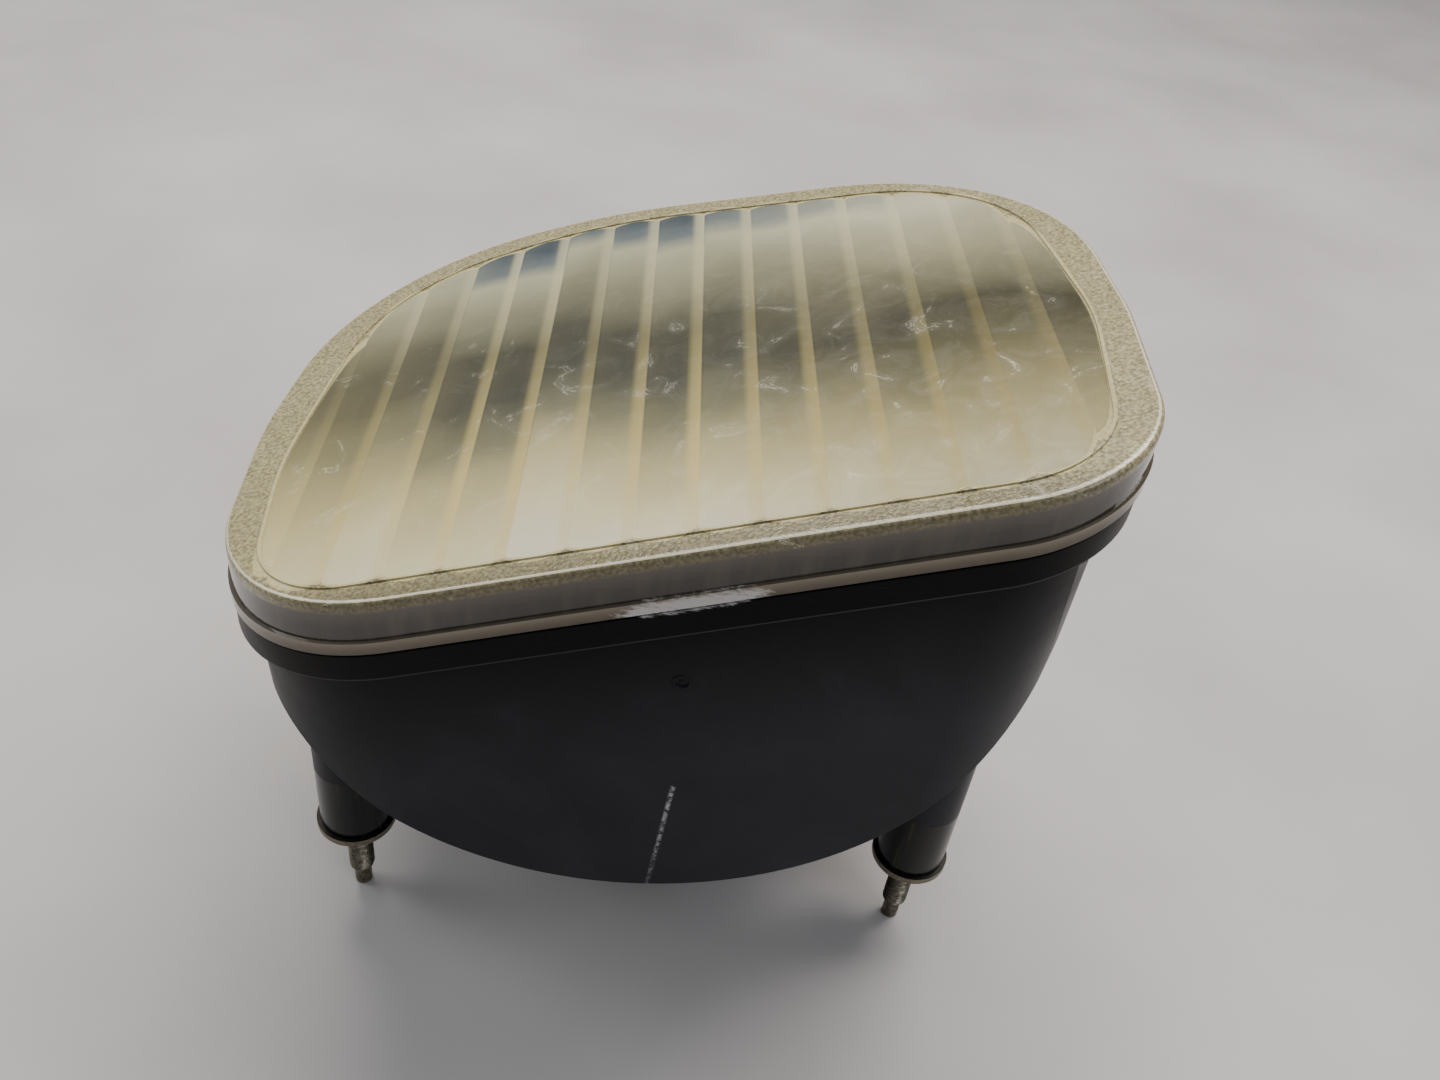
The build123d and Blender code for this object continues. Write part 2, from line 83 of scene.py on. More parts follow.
def blend(tree, factor, under, over):
    """Mixes a colour over another one and gives the result's socket. A hex string is a plain colour."""
    over = linear(over) if isinstance(over, str) else over
    return add(tree, "Mix", {0: factor, 6: under, 7: over}, data_type="RGBA").outputs[2]


def wire(tree, shader, **sources):
    """Links each node or socket to the shader's input of that name."""
    for name, source in sources.items():
        source = source.outputs[0] if isinstance(source, bpy.types.Node) else source
        tree.links.new(source, shader.inputs[name.replace("_", " ")])


def new_finish(name, **shader_values):
    """A material with one Principled shader, and its Object coordinates in millimetres."""
    material = bpy.data.materials.new(name)
    material.use_nodes = True
    tree = material.node_tree
    shader = tree.nodes["Principled BSDF"]
    for socket, value in shader_values.items():
        shader.inputs[socket.replace("_", " ")].default_value = value
    place = add(tree, "TexCoord").outputs["Object"]
    place = add(tree, "Mapping", {"Vector": place, "Scale": (1000, 1000, 1000)}).outputs[0]
    return material, tree, shader, place


# Matt paint on the table: broad clouds of grey, and specks of dirt about 2 mm across.
table_paint, tree, shader, place = new_finish("table_paint", Roughness=0.55)
clouds = add(tree, "TexNoise", {"Vector": place, "Scale": 1 / 120, "Detail": 4.0})
paint = add(tree, "ValToRGB", {"Fac": clouds}, stops=[(0.3, "#a19e9d"), (0.7, "#b4b1af")])
specks = add(tree, "TexNoise", {"Vector": place, "Scale": 1 / 14, "Detail": 6.0, "Roughness": 0.75})
dirt = add(tree, "ValToRGB", {"Fac": specks}, stops=[(0.71, "#000000"), (0.80, "#555555")])
wire(tree, shader, Base_Color=blend(tree, dirt, paint, "#6d6a69"))

mesh = bmesh.new()
bmesh.ops.create_grid(mesh, x_segments=2, y_segments=2, size=4.0,
                      matrix=Matrix.Translation((0, 0, stud_tips_z)))


def new_piece(name, mesh, material, smooth=True):
    """Turns a finished bmesh into an object at the origin, in this material."""
    for face in mesh.faces:
        face.smooth = smooth
    data = bpy.data.meshes.new(name)
    mesh.to_mesh(data)
    mesh.free()
    data.materials.append(material)
    piece = bpy.data.objects.new(name, data)
    bpy.context.collection.objects.link(piece)
    return piece


new_piece("table", mesh, table_paint)

camera_data = bpy.data.cameras.new("camera")
camera_data.lens = 31.25
camera_data.sensor_width = 36
camera_data.clip_start = 0.01
camera = bpy.data.objects.new("camera", camera_data)
camera.location = (-0.0073, -0.1864, 0.2448)
camera.rotation_euler = (radians(50.607), radians(-6.322), radians(-0.036))
bpy.context.collection.objects.link(camera)
bpy.context.scene.camera = camera

world = bpy.data.worlds.new("studio")
world.use_nodes = True
world.node_tree.nodes["Background"].inputs["Color"].default_value = linear("#d9dade")
world.node_tree.nodes["Background"].inputs["Strength"].default_value = 0.40
bpy.context.scene.world = world

for name, spot, aim, size, power, tint in (
        ("overhead", (0.15, 0.50, 1.15), (0, 0, 0.05), (1.6, 0.45), 30, "#fffaf4"),
        ("fill", (0.7, -0.7, 0.9), (0, 0, 0.05), (0.7, 0.7), 5, "#f4f7ff"),
        ("side", (-1.0, 0.2, 0.7), (0, 0, 0.05), (0.5, 0.9), 5, "#ffffff")):
    light = bpy.data.lights.new(name, "AREA")
    light.shape = "RECTANGLE"
    light.size, light.size_y = size
    light.energy = power
    light.color = linear(tint)[:3]
    lamp = bpy.data.objects.new(name, light)
    lamp.location = spot
    lamp.rotation_euler = (Vector(aim) - Vector(spot)).to_track_quat("-Z", "Y").to_euler()
    bpy.context.collection.objects.link(lamp)

# ---------------------------------------------------------------- lens
# Injection-moulded clear polycarbonate, yellowed and clouded by years of sun, its hard coat flaking.
# Upright flutes on its inner face show through as light and dark bands, painted in as light and shade, inside
# a thin raised line, and outside that line the face is stippled down over the fold.
sweep = radians(17.5)
lens_joint_z = 100.6
lens_foot_y, lens_top_y = -28.0, 104.0
fold_level = 11.86                # the flat face turns over here, above the joint
stipple_foot = (9.4, 10.1)        # the stipple fades out between these levels on the side wall
flute_pitch = 11.2
flute_first = -70.7
scallop_depth = 6.0
line_place, line_half_width = 0.35, 0.45
field_corners = [                 # of the raised line in plan, each with its radius
    (-73.2, -25.2, 20), (69.8, -25.2, 18), (75.6, 22, 70), (68.9, 87, 40), (-20.8, 102, 80),
    (-71.3, 87, 44), (-78.4, 17, 100)]

aged_polycarbonate, tree, shader, place = new_finish(
    "aged_polycarbonate", IOR=1.585, Specular_IOR_Level=0.3, Transmission_Weight=0.15, Coat_Weight=0.2,
    Coat_Roughness=0.07)


def math(tree, operation, *values):
    """One Math node on these values."""
    return add(tree, "Math", dict(enumerate(values)), operation=operation)


def ease(tree, value, start, end, low=0.0, high=1.0):
    """Goes from low to high while the value goes from start to end, and stays level outside."""
    return add(tree, "MapRange", {"Value": value, "From Min": start, "From Max": end,
                                  "To Min": low, "To Max": high})


def near(tree, value, middle, reach):
    """One where the value is within reach of the middle, and zero elsewhere."""
    return math(tree, "LESS_THAN", math(tree, "ABSOLUTE", math(tree, "SUBTRACT", value, middle)), reach)


def along_lens(tree, place):
    """Coordinates on the tilted lens: along its lower edge, up, and out from the joint."""
    offset = (-lens_joint_z * sin(sweep), 0, -lens_joint_z * cos(sweep))
    tilted = add(tree, "Mapping", {"Vector": place, "Rotation": (0, sweep, 0), "Location": offset})
    return add(tree, "SeparateXYZ", {0: tilted}).outputs


def outside_field(tree, place):
    """Distance outside the fluted field, negative inside. A smooth maximum rounds each corner."""
    distance = last_out = None
    corners = field_corners + field_corners[:1]
    for (x0, y0, radius), (x1, y1, _) in zip(corners, corners[1:]):
        out = Vector((y1 - y0, x0 - x1, 0)).normalized()
        reach = add(tree, "VectorMath", {0: place, 1: out}, operation="DOT_PRODUCT").outputs["Value"]
        reach = math(tree, "SUBTRACT", reach, out.dot(Vector((x0, y0, 0))))
        if distance:
            softness = 6 * radius * (1 - cos(last_out.angle(out) / 2))
            reach = math(tree, "SMOOTH_MAX", distance, reach, softness)
        distance, last_out = reach, out
    return distance


u, v, level = along_lens(tree, place)
flutes = math(tree, "DIVIDE", math(tree, "SUBTRACT", u, flute_first), flute_pitch)
phase = math(tree, "FRACT", flutes)
flute_tone = add(tree, "TexWhiteNoise", {"W": math(tree, "FLOOR", flutes)}, noise_dimensions="1D")
# Each flute runs out in a shallow scallop.
scallop = math(tree, "POWER", math(tree, "SUBTRACT", phase, 0.45), 2.0)
border = math(tree, "MULTIPLY_ADD", scallop, scallop_depth, outside_field(tree, place))
# One flute across, in painted light and shade: sharp dark valley, grey hollow that darkens, then the light
# crest before the next valley.
# Its strength differs from flute to flute, and the first few are blurred.
flute_light_and_shade = add(tree, "ValToRGB", {"Fac": phase}, stops=[
    (0.0, "#000000"), (0.04, "#4c4c4c"), (0.30, "#2c2c2c"), (0.58, "#0a0a0a"), (0.72, "#404040"),
    (0.83, "#e8e8e8"), (0.975, "#ffffff"), (1.0, "#000000")])
flute_light_and_shade = math(tree, "MULTIPLY", flute_light_and_shade, ease(tree, flute_tone, 0.0, 1.0, 0.6, 1.0))
blurred = ease(tree, u, -38.0, -72.0, 0.0, 0.65)
flute_light_and_shade = add(tree, "Mix", {"Factor": blurred, "A": flute_light_and_shade, "B": 0.45})
# Tone up the lens: pale and yellow at the foot, grey in the middle, green-beige above, blue-black at the top.
drift = add(tree, "TexNoise", {"Vector": place, "Scale": 1 / 38, "Detail": 2.0, "Distortion": 0.5})
drift = math(tree, "MULTIPLY", math(tree, "SUBTRACT", drift, 0.5), 0.16)
height = math(tree, "ADD", ease(tree, v, lens_foot_y, lens_top_y), drift)
step = math(tree, "MULTIPLY", math(tree, "SUBTRACT", flute_tone, 0.5), 0.10)
valley = add(tree, "ValToRGB", {"Fac": math(tree, "ADD", height, step)}, stops=[
    (0.0, "#c9c5ac"), (0.10, "#c3bb93"), (0.20, "#aaa076"), (0.32, "#6d6b53"), (0.44, "#414136"),
    (0.58, "#403f31"), (0.74, "#77755c"), (0.86, "#a09e82"), (0.905, "#5d6667"), (0.96, "#3a454b")])
crest = add(tree, "ValToRGB", {"Fac": height}, stops=[
    (0.0, "#c6bc92"), (0.16, "#c2b175"), (0.34, "#a0935d"), (0.55, "#7d7650"), (0.80, "#b3ae8a"),
    (1.0, "#aca88c")])
field = blend(tree, flute_light_and_shade, valley, crest)
# Towards the swept-up end the flutes fade behind thicker haze, browner at mid height.
haze = add(tree, "ValToRGB", {"Fac": height}, stops=[
    (0.08, "#8c8259"), (0.28, "#4e4729"), (0.46, "#3a351d"), (0.64, "#a39e7c"), (0.82, "#c6c2a6")])
field = blend(tree, ease(tree, u, 8.0, 58.0, 0.0, 0.6), field, haze)
# The stippled border is a yellow grey, browner along the near edge. A raised line parts it from the flutes.
stipple = add(tree, "TexNoise", {"Vector": place, "Scale": 1 / 0.7, "Detail": 2.0})
edge_tone = add(tree, "ValToRGB", {"Fac": stipple}, stops=[(0.36, "#7b7354"), (0.64, "#aca37b")])
edge_tone = blend(tree, ease(tree, v, -22.0, -28.0, 0.0, 0.5), edge_tone, "#39342a")
in_border = ease(tree, border, -0.4, 0.4)
face = blend(tree, in_border, field, edge_tone)
raised_line = near(tree, border, line_place, line_half_width)
face = blend(tree, math(tree, "MULTIPLY", raised_line, 0.45), face, "#d8cc98")
# Side wall: clear, painted dark as the shade inside the lamp seen through it, greyer near the fold, with a
# browner bead round the foot and a painted highlight along the bead's top edge.
side_tone = add(tree, "ValToRGB", {"Fac": ease(tree, level, 0.8, 12.2)}, stops=[
    (0.0, "#4a4134"), (0.12, "#6a5e4c"), (0.215, "#877c69"), (0.24, "#37332e"), (0.50, "#433e38"),
    (0.72, "#5b554d"), (0.88, "#665f55"), (0.96, "#756e63")])
upright = add(tree, "Mapping", {"Vector": place, "Scale": (1, 1, 0.15)})
streaks = add(tree, "TexNoise", {"Vector": upright, "Scale": 0.35, "Detail": 4.0})
side_tone = blend(tree, ease(tree, streaks, 0.45, 0.75, 0.0, 0.30), side_tone, "#6f6656")
on_face = ease(tree, level, *stipple_foot)
colour = blend(tree, on_face, side_tone, face)
# A painted highlight: a bright hairline where the flat face starts to turn over.
painted_fold_highlight = near(tree, level, fold_level, 0.1)
colour = blend(tree, math(tree, "MULTIPLY", painted_fold_highlight, 0.7), colour, "#e2dcc4")
# Flaked hard coat: islands with pale ragged rims, mostly on the lower half.
flake = add(tree, "TexNoise", {"Vector": place, "Scale": 1 / 9, "Detail": 8.0, "Roughness": 0.68,
                               "Distortion": 1.2})
flake_rim = math(tree, "MULTIPLY", near(tree, flake, 0.635, 0.006), ease(tree, v, 62.0, 8.0))
flake_rim = math(tree, "MULTIPLY", flake_rim, math(tree, "MULTIPLY", on_face, 0.7))
colour = blend(tree, flake_rim, colour, "#dcd6bd")


def chalk_smear(tree, place, level):
    """White scrape where the lamp rubbed on a wall: on the near side, across the joint of lens and rim."""
    x, y, _ = add(tree, "SeparateXYZ", {0: place}).outputs
    length = ease(tree, math(tree, "ABSOLUTE", math(tree, "SUBTRACT", x, 4.0)), 21.0, 8.0)
    width = ease(tree, math(tree, "ABSOLUTE", math(tree, "SUBTRACT", level, 1.6)), 4.2, 0.5)
    near_side = ease(tree, y, -24.0, -27.0)
    stretched = add(tree, "Mapping", {"Vector": place, "Scale": (0.25, 1, 1)})
    grain = add(tree, "TexNoise", {"Vector": stretched, "Scale": 1.2, "Detail": 6.0, "Roughness": 0.8})
    mask = math(tree, "MULTIPLY", length, width)
    mask = math(tree, "MULTIPLY", mask, math(tree, "MULTIPLY", near_side, grain))
    return ease(tree, mask, 0.30, 0.44)


smear = chalk_smear(tree, place, level)
colour = blend(tree, smear, colour, "#c8c5c2")
rough = ease(tree, flake, 0.40, 0.66, 0.16, 0.42)
rough = math(tree, "MULTIPLY", rough, ease(tree, on_face, 0.0, 1.0, 0.35, 1.0))
rough = math(tree, "MAXIMUM", rough, math(tree, "MULTIPLY", smear, 0.8))
grain = math(tree, "MULTIPLY", stipple, math(tree, "MULTIPLY", in_border, on_face))
grain = math(tree, "ADD", grain, math(tree, "MULTIPLY", flake_rim, 0.35))
bump = add(tree, "Bump", {"Height": grain, "Strength": 0.55, "Distance": 0.00025})
wire(tree, shader, Base_Color=colour, Roughness=rough, Normal=bump)


def dress(material, *nodes):
    """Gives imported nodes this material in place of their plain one."""
    for node in nodes:
        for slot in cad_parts[node].material_slots:
            slot.material = material


dress(aged_polycarbonate, "lens")

# ---------------------------------------------------------------- housing
# Black glass-filled nylon moulding with a satin skin, painted deep black at the rim as the shade under the
# lens's lip, and greyer down the wall, in part a painted reflection of the table.
# It carries scuffs, a chalk stroke and the white scrape that runs over from the lens.
black_nylon, tree, shader, place = new_finish("black_nylon", IOR=1.5, Specular_IOR_Level=0.1)
u, v, level = along_lens(tree, place)
broad = add(tree, "TexNoise", {"Vector": place, "Scale": 1 / 35, "Detail": 5.0, "Roughness": 0.6,
                               "Distortion": 0.8})
skin = add(tree, "ValToRGB", {"Fac": broad}, stops=[(0.32, "#28282b"), (0.58, "#303034"), (0.75, "#3b3c41")])
# Painted shade: the skin darkens to near black towards the rim, under the lens's lip.
skin = blend(tree, ease(tree, level, -45.0, -6.0, 0.0, 0.97), skin, "#010101")
drawn = add(tree, "Mapping", {"Vector": place, "Scale": (0.12, 1, 1.4)})
scuffs = add(tree, "TexNoise", {"Vector": drawn, "Scale": 0.9, "Detail": 6.0, "Roughness": 0.7})
colour = blend(tree, ease(tree, scuffs, 0.60, 0.74, 0.0, 0.30), skin, "#303134")
# A thin pale line is painted along the rim's lower edge as the highlight on its rounded corner.
rim_foot_level = -5.65
painted_edge_highlight = near(tree, level, rim_foot_level, 0.16)
colour = blend(tree, math(tree, "MULTIPLY", painted_edge_highlight, 0.5), colour, "#4c4c4d")
# Chalk stroke down the near wall, leaning a little to the right and broken into crumbs, heavier at its top.
stroke_top_z, near_wall_y = 46.0, -15.0
x, y, z = add(tree, "SeparateXYZ", {0: place}).outputs
away = math(tree, "ABSOLUTE", math(tree, "SUBTRACT", x, math(tree, "MULTIPLY_ADD", z, 0.078, 1.7)))
crumbs = add(tree, "TexNoise", {"Vector": place, "Scale": 0.8, "Detail": 4.0, "Roughness": 0.8})
stroke = ease(tree, away, 0.65, 0.1)
for limit in (ease(tree, z, 8.0, 36.0, 0.25, 1.0), math(tree, "LESS_THAN", z, stroke_top_z),
              math(tree, "LESS_THAN", y, near_wall_y), ease(tree, crumbs, 0.42, 0.58)):
    stroke = math(tree, "MULTIPLY", stroke, limit)
white = math(tree, "MAXIMUM", math(tree, "MULTIPLY", stroke, 0.8), chalk_smear(tree, place, level))
colour = blend(tree, white, colour, "#c4c3c4")
rough = ease(tree, broad, 0.3, 0.7, 0.30, 0.48)
rough = math(tree, "MAXIMUM", rough, math(tree, "MULTIPLY", white, 0.9))
grain = add(tree, "TexNoise", {"Vector": place, "Scale": 2.2, "Detail": 3.0})
eased = add(tree, "Bevel", {"Radius": 0.0005}, samples=4)
bump = add(tree, "Bump", {"Height": grain, "Strength": 0.22, "Distance": 0.0001, "Normal": eased})
wire(tree, shader, Base_Color=colour, Roughness=rough, Normal=bump)
dress(black_nylon, "housing")

# Ejector-pin mark on the near wall: a shallow ring with a burr, left by the mould.
# The wall leans with its draft, so the mark is laid over by the same angle.
mark_radius, mark_wire, burr_radius = 0.0016, 0.00035, 0.0006
mark_x, mark_z = 0.0042, 0.078
wall_top_y, wall_top_z = -0.027, 0.130
wall_draft = radians(3)
mark_y = wall_top_y + (wall_top_z - mark_z) * sin(wall_draft) / cos(wall_draft)
mesh = bmesh.new()
on_ring = Matrix.Translation((mark_radius, 0, 0)) @ Matrix.Rotation(pi / 2, 4, "X")
bmesh.ops.create_circle(mesh, segments=10, radius=mark_wire, matrix=on_ring)
bmesh.ops.spin(mesh, geom=mesh.verts[:] + mesh.edges[:], cent=(0, 0, 0), axis=(0, 0, 1), angle=2 * pi,
               steps=28, use_merge=True)
burr = bmesh.ops.create_icosphere(mesh, subdivisions=2, radius=burr_radius)["verts"]
bmesh.ops.scale(mesh, vec=(1, 1, 0.5), verts=burr)
bmesh.ops.recalc_face_normals(mesh, faces=mesh.faces[:])
on_wall = Matrix.Translation((mark_x, mark_y, mark_z)) @ Matrix.Rotation(pi / 2 - wall_draft, 4, "X")
bmesh.ops.transform(mesh, verts=mesh.verts[:], matrix=on_wall)
ejector_mark = new_piece("ejector_mark", mesh, black_nylon)
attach(ejector_mark, "lamp")

# ---------------------------------------------------------------- sealing bead
# Black hot-melt adhesive that glues the lens to the rim. It squeezes out in small waves and stays glossy.
sealing_adhesive, tree, shader, place = new_finish("sealing_adhesive", Roughness=0.28, IOR=1.5)
waves = add(tree, "TexNoise", {"Vector": place, "Scale": 1 / 2.5, "Detail": 2.0})
tone = add(tree, "ValToRGB", {"Fac": waves}, stops=[(0.35, "#050505"), (0.70, "#141312")])
bump = add(tree, "Bump", {"Height": waves, "Strength": 0.7, "Distance": 0.0004})
wire(tree, shader, Base_Color=tone, Normal=bump)
dress(sealing_adhesive, "lens_seal")

# ---------------------------------------------------------------- spacer sleeves and washers
# Acetal sleeves, turned smooth and glossy, with lighter greenish streaks painted along their length as
# reflections.
# Each stands on a plain steel washer with a dark phosphate coat, its rim painted a lighter grey as the light
# it catches.
gloss_acetal, tree, shader, place = new_finish("gloss_acetal", IOR=1.48, Specular_IOR_Level=0.4)
drawn = add(tree, "Mapping", {"Vector": place, "Scale": (1, 1, 0.06)})
drawn = add(tree, "TexNoise", {"Vector": drawn, "Scale": 0.55, "Detail": 3.0})
# Painted reflections: the lighter greenish streaks along each sleeve.
tone = add(tree, "ValToRGB", {"Fac": drawn}, stops=[(0.42, "#020303"), (0.60, "#090c0a"), (0.70, "#302f18")])
rough = ease(tree, drawn, 0.3, 0.7, 0.10, 0.24)
rings = add(tree, "TexWave", {"Vector": place, "Scale": 0.5, "Distortion": 1.0, "Detail": 1.0},
            bands_direction="Z")
bump = add(tree, "Bump", {"Height": rings, "Strength": 0.12, "Distance": 0.0001})
wire(tree, shader, Base_Color=tone, Roughness=rough, Normal=bump)
dress(gloss_acetal, "sleeve_left", "sleeve_right", "sleeve_upper")

phosphated_steel, tree, shader, place = new_finish("phosphated_steel", Metallic=0.75)
grit = add(tree, "TexNoise", {"Vector": place, "Scale": 1.4, "Detail": 5.0, "Roughness": 0.7})
coat = add(tree, "ValToRGB", {"Fac": grit}, stops=[(0.35, "#1b1a18"), (0.60, "#2d2b27"), (0.75, "#4b453a")])
# Painted light: the washer's sideways-facing rim is lightened, broken up by the grit.
facing = add(tree, "SeparateXYZ", {0: add(tree, "TexCoord").outputs["Normal"]}).outputs[2]
edge = ease(tree, math(tree, "ABSOLUTE", facing), 0.8, 0.2)
painted_rim_light = math(tree, "MULTIPLY", edge, ease(tree, grit, 0.35, 0.55, 0.35, 1.0))
colour = blend(tree, painted_rim_light, coat, "#8a8270")
rough = ease(tree, grit, 0.3, 0.7, 0.32, 0.60)
bump = add(tree, "Bump", {"Height": grit, "Strength": 0.3, "Distance": 0.0001})
wire(tree, shader, Base_Color=colour, Roughness=rough, Normal=bump)
dress(phosphated_steel, "washer_left", "washer_right", "washer_upper")

# ---------------------------------------------------------------- studs
# M6 steel studs, zinc plated and gone dull olive, with a rolled coarse thread down to a plain dog point.
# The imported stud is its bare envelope, so a threaded one stands for it, no larger anywhere.
thread_pitch, thread_depth = 0.001, 0.00055
crest_radius, shank_radius, dog_radius, dog_length = 0.003, 0.0027, 0.002, 0.006
dog_chamfer, runout_radius = 0.0004, 0.0022
steps_per_turn, ring_corners = 8, 32
hair = 0.00002                    # parts the two rings at the shoulder

dulled_zinc, tree, shader, place = new_finish("dulled_zinc", Metallic=0.9)
grime = add(tree, "TexNoise", {"Vector": place, "Scale": 0.9, "Detail": 5.0, "Roughness": 0.7})
tone = add(tree, "ValToRGB", {"Fac": grime}, stops=[(0.32, "#3f3b2f"), (0.52, "#6c675a"), (0.72, "#8f8b7d")])
rough = ease(tree, grime, 0.3, 0.7, 0.55, 0.34)
wire(tree, shader, Base_Color=tone, Roughness=rough)


def threaded_stud(node):
    """Grows a stud ring by ring from its point, with the thread as a ripple that climbs one pitch a turn."""
    low, high = (Vector(corner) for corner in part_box(node))
    middle = (low + high) / 2
    shoulder = low.z + dog_length
    mesh = bmesh.new()
    bmesh.ops.create_circle(mesh, cap_ends=True, segments=ring_corners, radius=dog_radius - dog_chamfer,
                            matrix=Matrix.Translation((middle.x, middle.y, low.z)))
    edges = mesh.edges[:]
    steps = int(-shoulder / thread_pitch * steps_per_turn)
    heights = [low.z + dog_chamfer, shoulder - hair]
    heights += [shoulder + step * thread_pitch / steps_per_turn for step in range(steps + 1)] + [0.0, high.z]
    for z in heights:
        grown = bmesh.ops.extrude_edge_only(mesh, edges=edges)["geom"]
        edges = [item for item in grown if isinstance(item, bmesh.types.BMEdge) and item.is_boundary]
        for corner in (item for item in grown if isinstance(item, bmesh.types.BMVert)):
            angle = atan2(corner.co.y - middle.y, corner.co.x - middle.x)
            ripple = abs((z / thread_pitch + angle / (2 * pi)) % 1 - 0.5) * 2
            thread = min(crest_radius - thread_depth * (1 - ripple), runout_radius + max(0, z - shoulder))
            radius = dog_radius if z < shoulder else thread if z < 0 else shank_radius
            corner.co = (middle.x + radius * cos(angle), middle.y + radius * sin(angle), z)
    bmesh.ops.contextual_create(mesh, geom=edges)
    bmesh.ops.recalc_face_normals(mesh, faces=mesh.faces[:])
    piece = new_piece("threaded_" + node, mesh, dulled_zinc, smooth=False)
    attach(piece, "lamp")
    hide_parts(node)


for node in ("stud_left", "stud_right", "stud_upper"):
    threaded_stud(node)
dress(dulled_zinc, "reflector_screws", "connector_screws")

# ---------------------------------------------------------------- reflector and glare shield
# Moulded bowl with a vacuum-aluminised skin, faintly rippled and dusty.
# The shield over the bulb's tip is pressed from sheet and has the same bright skin.
aluminised_skin, tree, shader, place = new_finish("aluminised_skin", Metallic=1.0)
dust = add(tree, "TexNoise", {"Vector": place, "Scale": 1 / 12, "Detail": 5.0, "Roughness": 0.65})
tone = add(tree, "ValToRGB", {"Fac": dust}, stops=[(0.35, "#b9bab8"), (0.70, "#dcdcda")])
rough = ease(tree, dust, 0.3, 0.7, 0.10, 0.26)
bump = add(tree, "Bump", {"Height": dust, "Strength": 0.15, "Distance": 0.0003})
wire(tree, shader, Base_Color=tone, Roughness=rough, Normal=bump)
dress(aluminised_skin, "reflector", "glare_shield")

# ---------------------------------------------------------------- bulb
# Single-filament halogen capsule: drawn quartz over a tungsten coil, in a pressed base with a ceramic plug.
quartz_glass, tree, shader, place = new_finish(
    "quartz_glass", Roughness=0.02, IOR=1.46, Transmission_Weight=1.0)
swirl = add(tree, "TexNoise", {"Vector": place, "Scale": 1 / 6, "Detail": 1.0})
tone = add(tree, "ValToRGB", {"Fac": swirl}, stops=[(0.3, "#f2f4f5"), (0.7, "#ffffff")])
wire(tree, shader, Base_Color=tone)
dress(quartz_glass, "bulb_glass")

drawn_tungsten, tree, shader, place = new_finish("drawn_tungsten", Metallic=1.0, Roughness=0.42)
coil = add(tree, "TexWave", {"Vector": place, "Scale": 0.5}, bands_direction="Y")
tone = add(tree, "ValToRGB", {"Fac": coil}, stops=[(0.2, "#2a2a2c"), (0.8, "#6d6d70")])
bump = add(tree, "Bump", {"Height": coil, "Strength": 0.8, "Distance": 0.0003})
wire(tree, shader, Base_Color=tone, Normal=bump)
dress(drawn_tungsten, "bulb_filament")

pressed_metal, tree, shader, place = new_finish("pressed_metal", Metallic=1.0)
grain = add(tree, "TexNoise", {"Vector": place, "Scale": 1.8, "Detail": 4.0})
tone = add(tree, "ValToRGB", {"Fac": grain}, stops=[(0.3, "#96958f"), (0.7, "#bdbcb6")])
rough = ease(tree, grain, 0.3, 0.7, 0.25, 0.42)
wire(tree, shader, Base_Color=tone, Roughness=rough)
dress(pressed_metal, "bulb_base")

steatite, tree, shader, place = new_finish("steatite", Roughness=0.7, IOR=1.55)
grain = add(tree, "TexNoise", {"Vector": place, "Scale": 2.5, "Detail": 3.0})
tone = add(tree, "ValToRGB", {"Fac": grain}, stops=[(0.3, "#cfc8b8"), (0.7, "#e2ddd0")])
bump = add(tree, "Bump", {"Height": grain, "Strength": 0.3, "Distance": 0.0001})
wire(tree, shader, Base_Color=tone, Normal=bump)
dress(steatite, "bulb_insulator")

spring_wire, tree, shader, place = new_finish("spring_wire", Metallic=1.0, Roughness=0.24)
scale = add(tree, "TexNoise", {"Vector": place, "Scale": 0.7, "Detail": 4.0})
tone = add(tree, "ValToRGB", {"Fac": scale}, stops=[(0.35, "#7d7c77"), (0.65, "#b4b3ad")])
wire(tree, shader, Base_Color=tone)
dress(spring_wire, "bulb_clip")

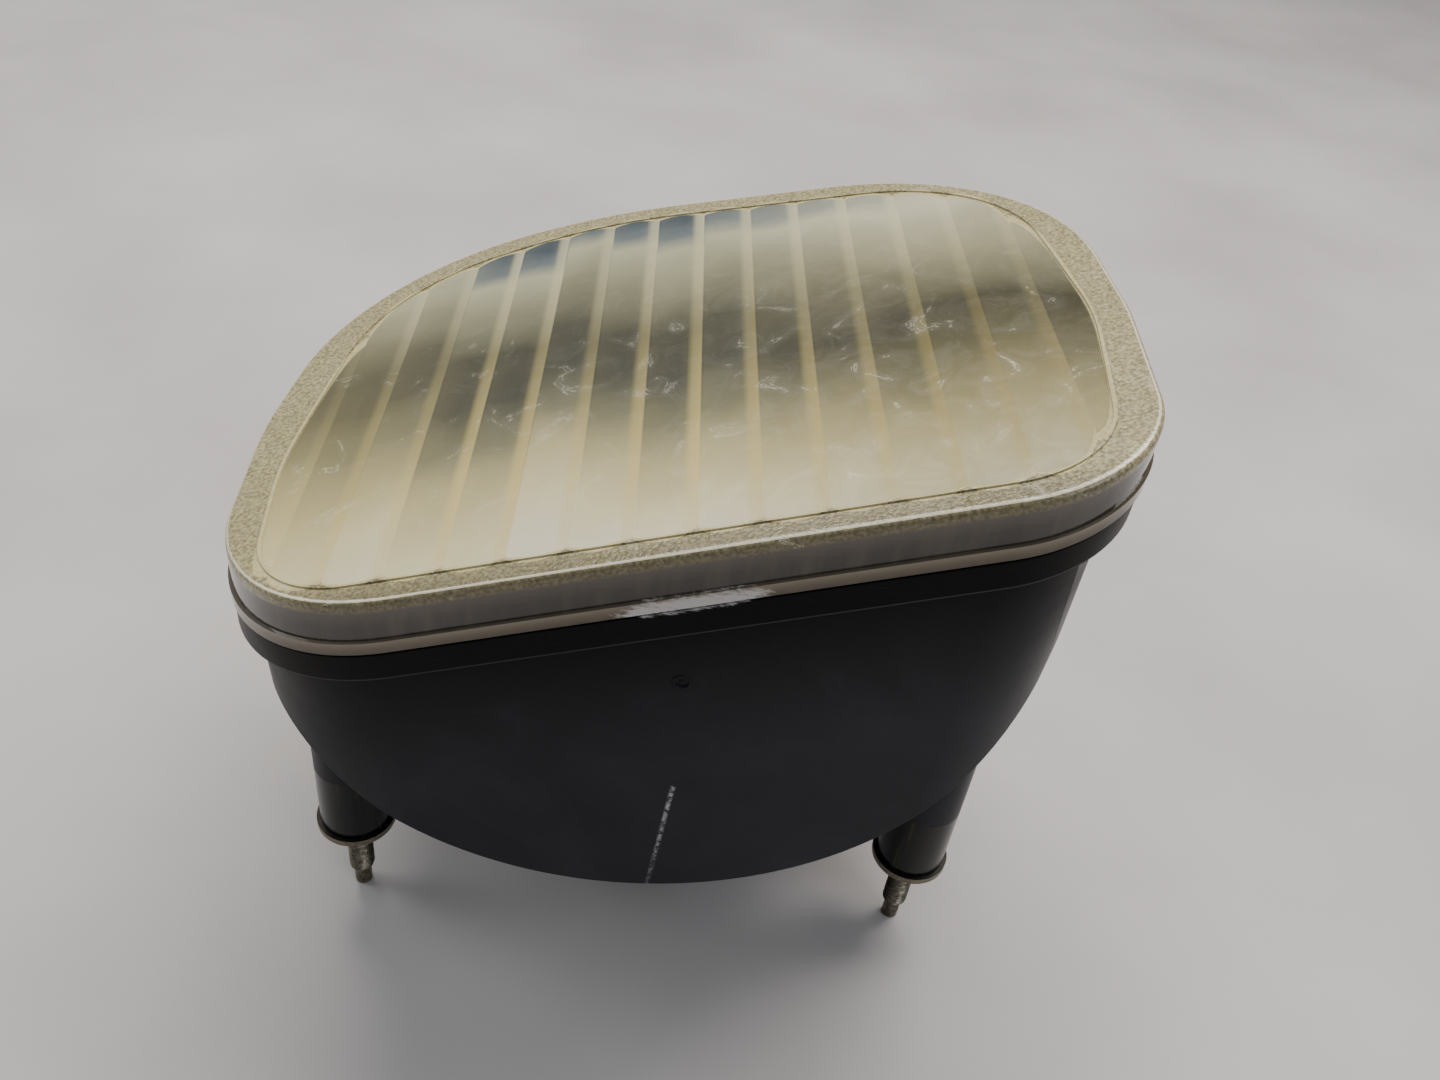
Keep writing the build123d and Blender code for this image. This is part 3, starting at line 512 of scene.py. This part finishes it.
# ---------------------------------------------------------------- leads, terminal and connector
# Silicone-sleeved leads run from the bulb and the reflector's earth tab to two brass blades.
# The blades are stamped sheet with a little tarnish.
silicone_sleeve, tree, shader, place = new_finish("silicone_sleeve", Roughness=0.5, IOR=1.43)
ribs = add(tree, "TexNoise", {"Vector": place, "Scale": 1.5, "Detail": 3.0})
tone = add(tree, "ValToRGB", {"Fac": ribs}, stops=[(0.35, "#0d0d0e"), (0.70, "#252527")])
bump = add(tree, "Bump", {"Height": ribs, "Strength": 0.25, "Distance": 0.0001})
wire(tree, shader, Base_Color=tone, Normal=bump)
dress(silicone_sleeve, "bulb_lead", "supply_lead", "earth_lead")

stamped_brass, tree, shader, place = new_finish("stamped_brass", Metallic=1.0)
tarnish = add(tree, "TexNoise", {"Vector": place, "Scale": 0.6, "Detail": 4.0})
tone = add(tree, "ValToRGB", {"Fac": tarnish}, stops=[(0.35, "#8a6a35"), (0.65, "#c8a45c")])
rough = ease(tree, tarnish, 0.3, 0.7, 0.45, 0.22)
wire(tree, shader, Base_Color=tone, Roughness=rough)
dress(stamped_brass, "connector_pin_feed", "connector_pin_earth", "earth_tab")

# ---------------------------------------------------------------- rear cap, connector shell and rubber parts
# The bayonet cap and the connector are moulded from plain black plastic with a fine spark-eroded grain.
# The cap's ring, the connector's gasket and the breather elbow are black rubber with a dusty bloom.
eroded_plastic, tree, shader, place = new_finish("eroded_plastic", Roughness=0.5, IOR=1.5)
grain = add(tree, "TexVoronoi", {"Vector": place, "Scale": 1 / 0.5})
cloud = add(tree, "TexNoise", {"Vector": place, "Scale": 1 / 15, "Detail": 4.0})
tone = add(tree, "ValToRGB", {"Fac": cloud}, stops=[(0.35, "#0d0d0e"), (0.70, "#1d1d1f")])
bump = add(tree, "Bump", {"Height": grain, "Strength": 0.25, "Distance": 0.0001})
wire(tree, shader, Base_Color=tone, Normal=bump)
dress(eroded_plastic, "rear_cap", "connector_socket", "lead_terminal")

moulded_rubber, tree, shader, place = new_finish("moulded_rubber", Roughness=0.78, IOR=1.52)
bloom = add(tree, "TexNoise", {"Vector": place, "Scale": 1 / 4, "Detail": 5.0, "Roughness": 0.7})
tone = add(tree, "ValToRGB", {"Fac": bloom}, stops=[(0.35, "#101010"), (0.75, "#2d2c2a")])
bump = add(tree, "Bump", {"Height": bloom, "Strength": 0.35, "Distance": 0.0002})
wire(tree, shader, Base_Color=tone, Normal=bump)
dress(moulded_rubber, "cap_seal", "connector_gasket", "vent_elbow")
